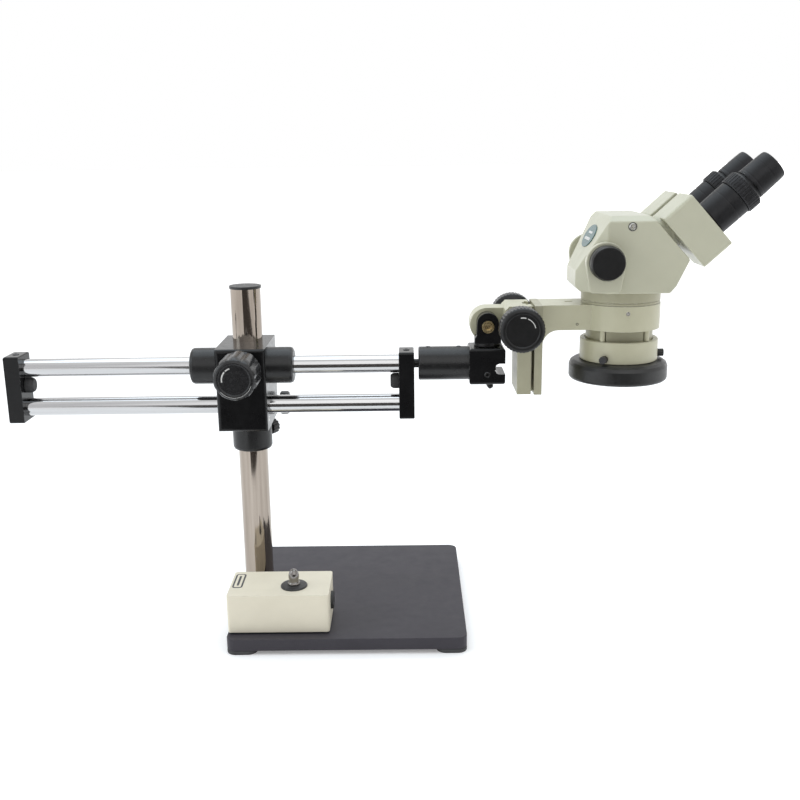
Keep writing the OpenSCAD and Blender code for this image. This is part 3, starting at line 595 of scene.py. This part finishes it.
for name, side in (("near", -1), ("far", 1)):
    box = carried(housing_outline(side), lambda t, y: (t, BAR_Y + y, HOUSE_FRONT),
                  (0, 0, HOUSE_BACK - HOUSE_FRONT))
    round_edges(box, 1.7, segments=4, corner=20)
    pivot = turned([(0, 592), (18.4, 592), (19, 600.2), (19, 604.3), (18.4, 606), (0, 606)], 72)
    placed(pivot, Matrix.Translation((PIVOT_T, BAR_Y + side * PIVOT_Y, 0)))
    housing = placed(joined([box, pivot]), optics)
    piece = finish_piece(housing, f"prism_box_{name}", f"prism_{name}", "cream_head",
                         (f"prism_housing_{name}",))
    print(f"{piece.name}: {len(piece.data.polygons)} faces")

# %% [markdown]
# ## Knobs
# Moulded clamp knobs have rounded lobes for the fingers, and focus knobs have fine flutes. Both
# start as a turned blank. The flutes are pressed in by drawing each ring of the blank inwards as
# the angle goes round, and the face is sunk inside a rim so that the knob reads as moulded.

# %% Lobes and flutes
def flute(bm, count, depth, bottom, top, sharp=1.0):
    """Presses count flutes into the side between two heights, fading out over a millimetre."""
    for v in bm.verts:
        radius = math.hypot(v.co.x, v.co.y)
        if radius < 0.75 * max(1, depth) or not bottom <= v.co.z <= top:
            continue
        fade = min(1, (v.co.z - bottom) / 1.2, (top - v.co.z) / 1.2)
        wave = (0.5 + 0.5 * math.cos(count * math.atan2(v.co.y, v.co.x))) ** sharp
        v.co.xy *= 1 - depth * fade * wave / radius
    return bm


def rim_rows(radius, low, high, rows):
    """Extra rings up the side of a blank, for flutes to follow."""
    return [(radius, low + (high - low) * i / rows) for i in range(rows + 1)]


KNOB_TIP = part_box("front_knob")[0].y / MM
CLAMP_ROOT = (2, KNOB_TIP + 50.6, BAR_Z)
clamp = turned([
    (0, 0), (14.8, 0), (14.8, 8), (19.4, 8.2), (21.2, 9), (22.2, 10.6),
    *rim_rows(22.4, 12, 40, 7),
    (21.9, 43.5), (21.1, 46), (20.4, 47.6), (19.2, 48.9), (17.6, 49.6), (16.2, 49.6),
    (15.4, 48.9), (15.0, 48.3), (0, 48.3)], 160)
flute(clamp, count=10, depth=2.3, bottom=9.0, top=47.4, sharp=2.2)
placed(clamp, aim(CLAMP_ROOT, NEARER))
piece = finish_piece(clamp, "clamp_knob", "front_knob", "black_gloss_plastic",
                     ("front_knob",), corner=50)
print(f"{piece.name}: tip at y = {KNOB_TIP:.1f} mm, {len(piece.data.polygons)} faces")

# %% Focus knobs
FOCUS_X, FOCUS_Z = 286, 331.5
for name, sign in (("near", -1), ("far", 1)):
    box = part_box(f"focus_knob_{name}")
    inner = (box[1].y if sign < 0 else box[0].y) / MM
    knob = turned([
        (4.02, 0), (14.5, 0), (14.5, 13), (17, 13.6), (20.6, 15.6), (22.1, 16.6),
        *rim_rows(22.7, 17.6, 31, 3),
        (22.3, 32.4), (21.4, 33.6), (20.4, 34.5), (18.8, 35), (17.2, 35), (16.6, 34.4),
        (16.2, 33.9), (0, 33.9), (0, 18.1), (4.02, 18.1), (4.02, 0)], 240)
    flute(knob, count=40, depth=0.8, bottom=16.8, top=32.8, sharp=1.5)
    placed(knob, aim((FOCUS_X, inner, FOCUS_Z), (0, sign, 0)))
    piece = finish_piece(knob, f"focus_grip_{name}", "pinion", slot_of[f"focus_knob_{name}"],
                         (f"focus_knob_{name}",), corner=50)
    print(f"{piece.name}: {len(piece.data.polygons)} faces")

# %% Rear clamp knob
REAR_KNOB_ROOT = (26.3, 24, 232)
rear = turned([
    (0, 0), (8, 0), (8, 2.4), (11.6, 3.2), (12.6, 4), *rim_rows(12.9, 5, 10.6, 2),
    (12.6, 11.8), (11.6, 13), (10.2, 13.4), (9.2, 13.0), (0, 13.0)], 120)
flute(rear, count=12, depth=1.0, bottom=3.4, top=12.4, sharp=1.6)
placed(rear, aim(REAR_KNOB_ROOT, RIGHT))
piece = finish_piece(rear, "rear_clamp_grip", "rear_knob", slot_of["rear_knob"],
                     ("rear_knob",), corner=50)
print(f"{piece.name}: {len(piece.data.polygons)} faces")

# %% [markdown]
# The knobs carry thin printed arcs, plain marks with no letters. Each is a ring segment: one edge
# spun through an angle and given a hair's thickness, just above the face.

# %% Printed arcs
PRINT_THICKNESS = 0.06
CLAMP_FACE, CLAMP_RIM, FOCUS_FACE = 48.33, 49.63, 33.93


def arc_strip(inner, outer, start, sweep, height, steps=20):
    """A thin ring segment about Z, from start degrees through sweep degrees."""
    bm = bmesh.new()
    turn = Matrix.Rotation(math.radians(start), 3, "Z")
    ends = [bm.verts.new(turn @ Vector((r, 0, height))) for r in (inner, outer)]
    edge = bm.edges.new(ends)
    bmesh.ops.spin(bm, geom=ends + [edge], cent=(0, 0, 0), axis=(0, 0, 1),
                   angle=math.radians(sweep), steps=steps)
    bmesh.ops.recalc_face_normals(bm, faces=bm.faces)
    bmesh.ops.solidify(bm, geom=bm.faces[:], thickness=PRINT_THICKNESS)
    return closed(bm)


marks = joined([arc_strip(11.6, 12.9, 48, 52, CLAMP_FACE),
                arc_strip(11.6, 12.9, 18, 24, CLAMP_FACE),
                arc_strip(17.6, 17.9, 130, 120, CLAMP_RIM)])
placed(marks, aim(CLAMP_ROOT, NEARER, "X"))
finish_piece(marks, "clamp_knob_arcs", "front_knob", "black_gloss_plastic", finish="white_print")

marks = joined([arc_strip(12.4, 13.2, -78, 56, FOCUS_FACE),
                arc_strip(12.4, 13.5, -14, 24, FOCUS_FACE)])
near_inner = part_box("focus_knob_near")[1].y / MM
placed(marks, aim((FOCUS_X, near_inner, FOCUS_Z), NEARER, "X"))
finish_piece(marks, "focus_knob_arcs", "pinion", slot_of["focus_knob_near"], finish="white_print")
print("printed arcs on the clamp knob and the near focus knob")

# %% [markdown]
# ## Eyepieces
# An eyepiece is a lacquered tube with a thin collar, a knurled dioptre ring and a soft cup. The
# tube and cup are turned again with the small steps that the real one shows, and a few short white
# ticks beside the ring mark the dioptre setting.

# %% Eye tubes and cups
EYE_T, EYE_HALF_GAP = -9, 32
TUBE = [
    (15.05, 639.4), (17.4, 639.4), (17.6, 640.4), (18.2, 641), (18.4, 660), (18.1, 660.6),
    (18.1, 661.4), (18.4, 662), (18.4, 671.4), (18.0, 672), (16.4, 672), (16.4, 686.6),
    (15.05, 686.6), (15.05, 639.4)]
CUP = [
    (12.4, 646), (15, 646), (15, 689), (16.1, 689.3), (16.4, 690), (16.4, 692.2), (16.1, 692.8),
    (16.1, 693.6), (16.35, 694.2), (15.9, 708), (15.7, 708.4), (15.7, 709), (15.9, 709.4),
    (15.5, 716.5), (15.0, 718.6), (14.3, 719.2), (13.4, 719.2), (12.7, 718.2), (12.2, 710),
    (12.3, 706.4), (12.3, 700.6), (12.4, 646)]
TICK_FOOT, TICK_LENGTH = 690.4, 1.5
TICK_ANGLES = range(150, 216, 8)

for name, side in (("near", -1), ("far", 1)):
    axis = optics @ Matrix.Translation((EYE_T, BAR_Y + side * EYE_HALF_GAP, 0))
    piece = finish_piece(placed(turned(TUBE), axis), f"eye_barrel_{name}", f"prism_{name}",
                         "eye_black", (f"eye_tube_{name}",))
    cup_piece = finish_piece(placed(turned(CUP), axis), f"eye_cup_{name}", f"eyepiece_{name}",
                             "eye_black", (f"eyepiece_{name}",))
    ticks = joined([arc_strip(16.45, 16.5, start, 2.2 if i % 2 else 3.4, TICK_FOOT, 2)
                    for i, start in enumerate(TICK_ANGLES)])
    for v in ticks.verts:
        v.co.z += TICK_LENGTH if v.co.z > TICK_FOOT + PRINT_THICKNESS / 2 else 0
    finish_piece(placed(ticks, axis), f"dioptre_ticks_{name}", f"eyepiece_{name}", "eye_black",
                 finish="white_print")
    print(f"{piece.name} and {cup_piece.name} turned")

# %% [markdown]
# ## Screws
# Small screws make the joints readable: socket set screws in the clamps and a slotted cover screw
# on the body's side. A socket screw is a turned disc whose inner ring is pulled out to a hexagon. A
# slotted one is a disc cut twice, with the strip between the cuts pushed down.

# %% Socket and slotted screws
SOCKET_DEPTH, SLOT_DEPTH = 1.6, 0.9


def socket_screw(radius, height, socket):
    """A disc with a hexagon socket; socket is the distance from its centre to a flat."""
    floor_z = height - SOCKET_DEPTH
    bm = turned([(0, floor_z), (socket, floor_z), (socket, height), (radius - 0.35, height),
                 (radius, height - 0.35), (radius, -0.8), (0, -0.8)], 36)
    for v in bm.verts:
        if abs(math.hypot(v.co.x, v.co.y) - socket) < 0.01:
            off_flat = (math.degrees(math.atan2(v.co.y, v.co.x)) % 60) - 30
            v.co.xy *= 1 / math.cos(math.radians(off_flat))
    return bm


def slotted_screw(radius, height, width):
    """A raised disc with a slot across it."""
    bm = turned([(0, height), (radius - 0.4, height), (radius, height - 0.4),
                 (radius, -0.8), (0, -0.8)], 40)
    for side in (-1, 1):
        bmesh.ops.bisect_plane(bm, geom=bm.verts[:] + bm.edges[:] + bm.faces[:],
                               plane_co=(0, side * width / 2, 0), plane_no=(0, 1, 0))
    bm.normal_update()
    strip = [f for f in bm.faces
             if f.normal.z > 0.9 and abs(f.calc_center_median().y) < width / 2]
    grown = bmesh.ops.extrude_face_region(bm, geom=strip)
    bmesh.ops.delete(bm, geom=strip, context="FACES")
    slot_floor = [v for v in grown["geom"] if isinstance(v, bmesh.types.BMVert)]
    bmesh.ops.translate(bm, verts=slot_floor, vec=(0, 0, -SLOT_DEPTH))
    return closed(bm)


def screws(name, body, slot, finish, places, make):
    """Several like screws as one piece; each place is a point and the way the head faces."""
    heads = [placed(make(), aim(point, facing, "X")) for point, facing in places]
    return finish_piece(joined(heads), name, body, slot, finish=finish)


print("screw helpers ready")

# %% Where the screws go
BLOCK_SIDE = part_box("block_body")[1].x / MM - POST_X / MM
BOOM_LEFT = (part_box("end_plate_left")[0].x - POST_X) / MM
BOOM_RIGHT = (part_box("bar_upper")[1].x - POST_X) / MM + 4
PLATE_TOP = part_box("end_plate_left")[1].z / MM
LOWER_Z = sum(corner.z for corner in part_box("bar_lower")) / 2 / MM
COVER_X, COVER_Z = 391, 430.6
cover_places = [((COVER_X, side_y, COVER_Z), (0, sign, 0))
                for side_y, sign in ((NEAR_Y, -1), (FAR_Y, 1))]

screws("block_set_screws", "block", "black_enamel", "plain_steel",
       [((BLOCK_SIDE, y, z), RIGHT) for y, z in ((-16, 268), (8, 262), (-16, 240), (-48, 233))],
       lambda: socket_screw(2.9, 0.15, 1.4))
screws("end_plate_screws", "boom", "black_satin", "black_oxide",
       [((BOOM_LEFT + 8, BAR_Y, PLATE_TOP), UP), ((BOOM_RIGHT - 8, BAR_Y, PLATE_TOP), UP)],
       lambda: socket_screw(3.4, 0.7, 1.6))
screws("left_bar_screws", "boom", "black_satin", "black_oxide",
       [((BOOM_LEFT, BAR_Y, z), LEFT) for z in (BAR_Z, LOWER_Z)],
       lambda: socket_screw(5.2, -0.05, 2.5))
screws("barrel_set_screws", "boom_head", "black_satin", "black_oxide",
       [((x, BAR_Y, BAR_Z + 17.4), UP) for x in (194, 226)],
       lambda: socket_screw(2.6, 0.5, 1.25))
screws("cube_set_screws", "boom_head", "black_satin", "black_oxide",
       [((254.75, BAR_Y - 19, 279), NEARER)], lambda: socket_screw(3.2, 0.2, 1.5))
screws("cover_screws", "head", "cream_head", "plain_steel",
       cover_places, lambda: slotted_screw(3.2, 0.45, 0.9))
screws("arm_set_screws", "focus_slide", "cream_paint", "black_oxide",
       [((345, -61, FOCUS_Z), NEARER)], lambda: socket_screw(1.7, 0.05, 0.8))
print("set screws, bar screws and cover screws fitted")

# %% [markdown]
# ## Small fittings
# The lamp box has a blank plate, two lid screws on its far side and a turned pointer knob. Four
# enamelled guide rods stand between the lamp's adaptor and the housing above it, and each cover
# screw sits in a thin washer. All are small turned or carried shapes.

# %% Lamp box knob and dial
knob_lo, knob_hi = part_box("box_knob")
DIAL_X = ((knob_lo.x + knob_hi.x) / 2 - POST_X) / MM
DIAL_Y = (knob_lo.y + knob_hi.y) / 2 / MM
box_lo, box_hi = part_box("box_shell")
BOX_LEFT, BOX_RIGHT = (box_lo.x - POST_X) / MM, (box_hi.x - POST_X) / MM
BOX_FAR, BOX_TOP = box_hi.y / MM, box_hi.z / MM

POINTER = [(0, 2.7), (6.4, 2.7), (6.6, 3.4), (6.2, 4.6), (5.2, 5.4), (5.0, 8), (5.5, 9.4),
           (5.5, 12.6), (4.6, 15.6), (3.4, 17.6), (2.2, 18.6), (0, 18.7)]
pointer = turned([(r, BOX_TOP + z) for r, z in POINTER], 72)
placed(pointer, Matrix.Translation((DIAL_X, DIAL_Y, 0)))
finish_piece(pointer, "pointer_knob", "dimmer", "knob_metal", ("box_knob",), corner=40)

DIAL = [(4.1, 0), (14, 0), (14, 1.0), (13.2, 1.8), (11.4, 2.1), (7.2, 2.4), (4.1, 2.4), (4.1, 0)]
dial = turned([(r, BOX_TOP + z) for r, z in DIAL], 72)
placed(dial, Matrix.Translation((DIAL_X, DIAL_Y, 0)))
finish_piece(dial, "dial_plate", "stand", slot_of["box_dial"], ("box_dial",))
print("pointer knob and dial plate turned")

# %% [markdown]
# A blank plate with a dark rim and one plain bar stands where the box had its label.

# %% Blank plate and lid screws
def rounded_outline(width, depth, radius, steps=6):
    """A rectangle with round corners about the origin."""
    corners = ((1, 1, 0), (-1, 1, 90), (-1, -1, 180), (1, -1, 270))
    return [(sx * (width / 2 - radius) + radius * math.cos(math.radians(start + 90 * i / steps)),
             sy * (depth / 2 - radius) + radius * math.sin(math.radians(start + 90 * i / steps)))
            for sx, sy, start in corners for i in range(steps + 1)]


def flat_plate(name, body, slot, finish, outline, where, thickness):
    """A thin plate that stands thickness above a surface and reaches a little into it."""
    plate = carried(outline, lambda x, y: (x, y, -0.1), (0, 0, thickness + 0.1))
    return finish_piece(placed(plate, where), name, body, slot, finish=finish)


PLATE_AT = (Matrix.Translation((BOX_LEFT + 8, BOX_FAR - 24, BOX_TOP))
            @ Matrix.Rotation(math.radians(90), 4, "Z"))
flat_plate("box_label_rim", "stand", "cream_box", "dark_print",
           rounded_outline(35, 11, 3.4), PLATE_AT, 0.12)
flat_plate("box_label_face", "stand", "cream_box", "cream_box",
           rounded_outline(31.4, 7.4, 1.7), PLATE_AT, 0.2)
flat_plate("box_label_bar", "stand", "cream_box", "dark_print",
           rounded_outline(24, 2.4, 1.1), PLATE_AT, 0.28)
screws("box_lid_screws", "stand", "cream_box", "plain_steel",
       [((x, BOX_FAR, BOX_TOP - 14), (0, 1, 0)) for x in (BOX_LEFT + 9, BOX_RIGHT - 9)],
       lambda: slotted_screw(2.6, 0.4, 0.7))
print("lamp box fittings on a box", round(BOX_RIGHT - BOX_LEFT, 1), "mm long")

# %% Guide rods, badge and cover-screw washers
ROD_R, ROD_GAP_X, ROD_GAP_Y = 2.6, 22.4, 27.6
ROD_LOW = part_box("light_adaptor")[1].z / MM + 0.3
ROD_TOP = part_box("lower_housing")[1].z / MM
rods = [placed(turned([(0, ROD_LOW), (ROD_R, ROD_LOW), (ROD_R, ROD_TOP), (0, ROD_TOP)], 32),
               Matrix.Translation((SCOPE_X + k * ROD_GAP_X, BAR_Y + m * ROD_GAP_Y, 0)))
        for k in (-1, 1) for m in (-1, 1)]
finish_piece(joined(rods), "guide_rods", "head", "cream_paint")

SLOPE = math.degrees(math.atan2(BODY_TOP - SLOPE_FOOT, SLOPE_TOP - NOSE_X))
BADGE_X, BADGE_Z = 358.9, 418.2


def oval(width, length, steps=40):
    """An ellipse about the origin."""
    return [(width / 2 * math.cos(2 * math.pi * i / steps),
             length / 2 * math.sin(2 * math.pi * i / steps)) for i in range(steps)]


badge_stand = (Matrix.Translation((BADGE_X, BAR_Y, BADGE_Z))
               @ Matrix.Rotation(math.radians(-SLOPE), 4, "Y"))
BADGE_THICKNESS = 0.9
badge = carried(oval(25, 45), lambda x, y: (x, y, 0), (0, 0, BADGE_THICKNESS))
round_edges(badge, 0.3, segments=2, corner=40)
finish_piece(placed(badge, badge_stand), "oval_badge", "head", "badge", ("head_badge",))
for name, offset, width, length in (("badge_bar_long", -3.2, 3.0, 26),
                                    ("badge_bar_short", 3.6, 2.2, 18)):
    flat_plate(name, "head", "badge", "white_print",
               rounded_outline(width, length, width / 2 - 0.01),
               badge_stand @ Matrix.Translation((offset, 0, BADGE_THICKNESS)), 0.08)

WASHER = [(3.5, 0.0), (4.3, 0.0), (4.3, 0.25), (3.5, 0.25), (3.5, 0.0)]
washers = [placed(turned(WASHER, 40), aim(point, facing, "X")) for point, facing in cover_places]
finish_piece(joined(washers), "cover_screw_washers", "head", "cream_head", finish="dark_print")
print("guide rods, badge and washers fitted; front slope", round(SLOPE, 1), "degrees")

# %% [markdown]
# ## A plain studio
# The floor is a pale sheet that glows more the further out it lies, so it stays white up to the
# horizon. A white sky lights everything softly, and one large lamp above makes the tops brighter
# than the fronts.

# %% Floor
FLOOR_HALF = 30.0
GLOW_NEAR, GLOW_FAR = 0.22, 1.0
GLOW_RISES, GLOW_FULL = 2.5, 6.0
floor_bm = bmesh.new()
bmesh.ops.create_grid(floor_bm, x_segments=1, y_segments=1, size=FLOOR_HALF)
floor_mesh = bpy.data.meshes.new("studio_floor")
floor_bm.to_mesh(floor_mesh)
floor_bm.free()
floor = bpy.data.objects.new("studio_floor", floor_mesh)
bpy.context.scene.collection.objects.link(floor)
paper = coated(
    "white paper sweep", (0.90, 0.90, 0.90), (0.885, 0.885, 0.885), (0.75, 0.85),
    patch_mm=400, grain_mm=5, bump=0.02)
paper_shader = paper.node_tree.nodes["Principled BSDF"]
paper_shader.inputs["Emission Color"].default_value = (1, 1, 1, 1)
paper_tree = paper.node_tree
from_middle = add(paper_tree, "ShaderNodeVectorMath", operation="LENGTH")
paper_tree.links.new(add(paper_tree, "ShaderNodeTexCoord").outputs["Object"], from_middle.inputs[0])
glow = spread(paper_tree, from_middle.outputs["Value"], GLOW_NEAR, GLOW_FAR, GLOW_RISES, GLOW_FULL)
paper_tree.links.new(glow, paper_shader.inputs["Emission Strength"])
floor_mesh.materials.append(paper)
print("floor", 2 * FLOOR_HALF, "m across")

# %% Sky
world = bpy.data.worlds.new("studio_sky")
bpy.context.scene.world = world
world.use_nodes = True
world.node_tree.nodes["Background"].inputs["Color"].default_value = (1, 1, 1, 1)
world.node_tree.nodes["Background"].inputs["Strength"].default_value = 1.0
print("an even white sky")

# %% [markdown]
# Chrome and black enamel need something dark to mirror. A dark wedge lies on the floor in front.
# Behind the camera, a mirror wall is grey on the left, and on the right it is dark low down and
# bright above. A grey wall behind that keeps the fronts darker than the tops. The camera itself
# sees none of the three.

# %% Cards and walls that only reflections see
WALL_HALF, WALL_HEIGHT = 8.5, 8


def card(name, corners, finish, lights):
    """A flat sheet the camera doesn't see; lights says whether it shades the object."""
    card_bm = bmesh.new()
    card_bm.faces.new([card_bm.verts.new(corner) for corner in corners])
    mesh = bpy.data.meshes.new(name)
    card_bm.to_mesh(mesh)
    card_bm.free()
    mesh.materials.append(finish)
    sheet = bpy.data.objects.new(name, mesh)
    bpy.context.scene.collection.objects.link(sheet)
    sheet.visible_camera = False
    sheet.visible_diffuse = sheet.visible_shadow = lights


def standing(y):
    """The corners of a wall that faces the object."""
    return [(-WALL_HALF, y, 0), (WALL_HALF, y, 0),
            (WALL_HALF, y, WALL_HEIGHT), (-WALL_HALF, y, WALL_HEIGHT)]


def wall_paint(name):
    """A nearly black matt paint, which the glow of a wall is laid on."""
    return coated(name, (0.02, 0.02, 0.02), (0.025, 0.025, 0.025), (0.8, 0.9),
                  patch_mm=300, grain_mm=5, bump=0.02)


dark_card = coated(
    "dark card", (0.030, 0.022, 0.017), (0.022, 0.016, 0.012), (0.8, 0.9),
    patch_mm=300, grain_mm=5, bump=0.02)
grey_wall = wall_paint("grey wall")
grey_shader = grey_wall.node_tree.nodes["Principled BSDF"]
grey_shader.inputs["Emission Color"].default_value = (1, 1, 1, 1)
grey_shader.inputs["Emission Strength"].default_value = 0.42
print("dark card and grey wall painted")

# %% The mirror wall's glow, and the three in place
WALL_LOW, WALL_LIT, WALL_LEFT = (0.030, 0.022, 0.017), (1.5, 1.5, 1.5), (0.80, 0.80, 0.81)
LIT_FROM, LIT_TO = 1.35, 1.35 + 0.15
FADE_FROM, FADE_TO = -2.7, -1.3
mirror_wall = wall_paint("mirror wall")
wall_tree = mirror_wall.node_tree
wall_shader = wall_tree.nodes["Principled BSDF"]
wall_place = add(wall_tree, "ShaderNodeSeparateXYZ",
                 {"Vector": add(wall_tree, "ShaderNodeTexCoord").outputs["Object"]})
up_the_wall = spread(wall_tree, wall_place.outputs["Z"], 0, 1, LIT_FROM, LIT_TO)
across = spread(wall_tree, wall_place.outputs["X"], 0, 1, FADE_FROM, FADE_TO)
low_or_lit = blended(wall_tree, up_the_wall, WALL_LOW, WALL_LIT)
wall_colour = blended(wall_tree, across, WALL_LEFT, low_or_lit)
wall_tree.links.new(wall_colour, wall_shader.inputs["Emission Color"])
wall_shader.inputs["Emission Strength"].default_value = 1.0

CARD_Z, CARD_NEAR, CARD_FAR = 0.008, -0.48, -5.9
card("floor_card", [(-0.3, CARD_NEAR, CARD_Z), (1.2, CARD_NEAR, CARD_Z),
                    (1.2, CARD_FAR, CARD_Z), (-1.9, CARD_FAR, CARD_Z)], dark_card, lights=False)
card("mirror_wall", standing(-6.6), mirror_wall, lights=False)
card("grey_wall", standing(-7), grey_wall, lights=True)
print("a floor card and two walls")

# %% Lamps
def soft_lamp(name, where, target, size, power, tint):
    """A rectangular area lamp that faces a target."""
    data = bpy.data.lights.new(name, "AREA")
    data.shape = "RECTANGLE"
    data.size, data.size_y = size
    data.energy = power
    data.color = tint
    lamp = bpy.data.objects.new(name, data)
    bpy.context.scene.collection.objects.link(lamp)
    lamp.matrix_world = aim(Vector(where), Vector(where) - Vector(target))
    return lamp


soft_lamp("overhead_box", where=(0.1, 0.25, 1.9), target=(0.05, 0, 0.2),
          size=(2.2, 1.8), power=17, tint=(0.78, 0.92, 1.04))
soft_lamp("left_fill", where=(-1.8, -0.5, 1.0), target=(0, 0, 0.25),
          size=(0.9, 1.2), power=6, tint=(0.84, 0.95, 1.03))
bpy.context.scene.view_settings.view_transform = "Standard"
print("one overhead lamp and one fill")
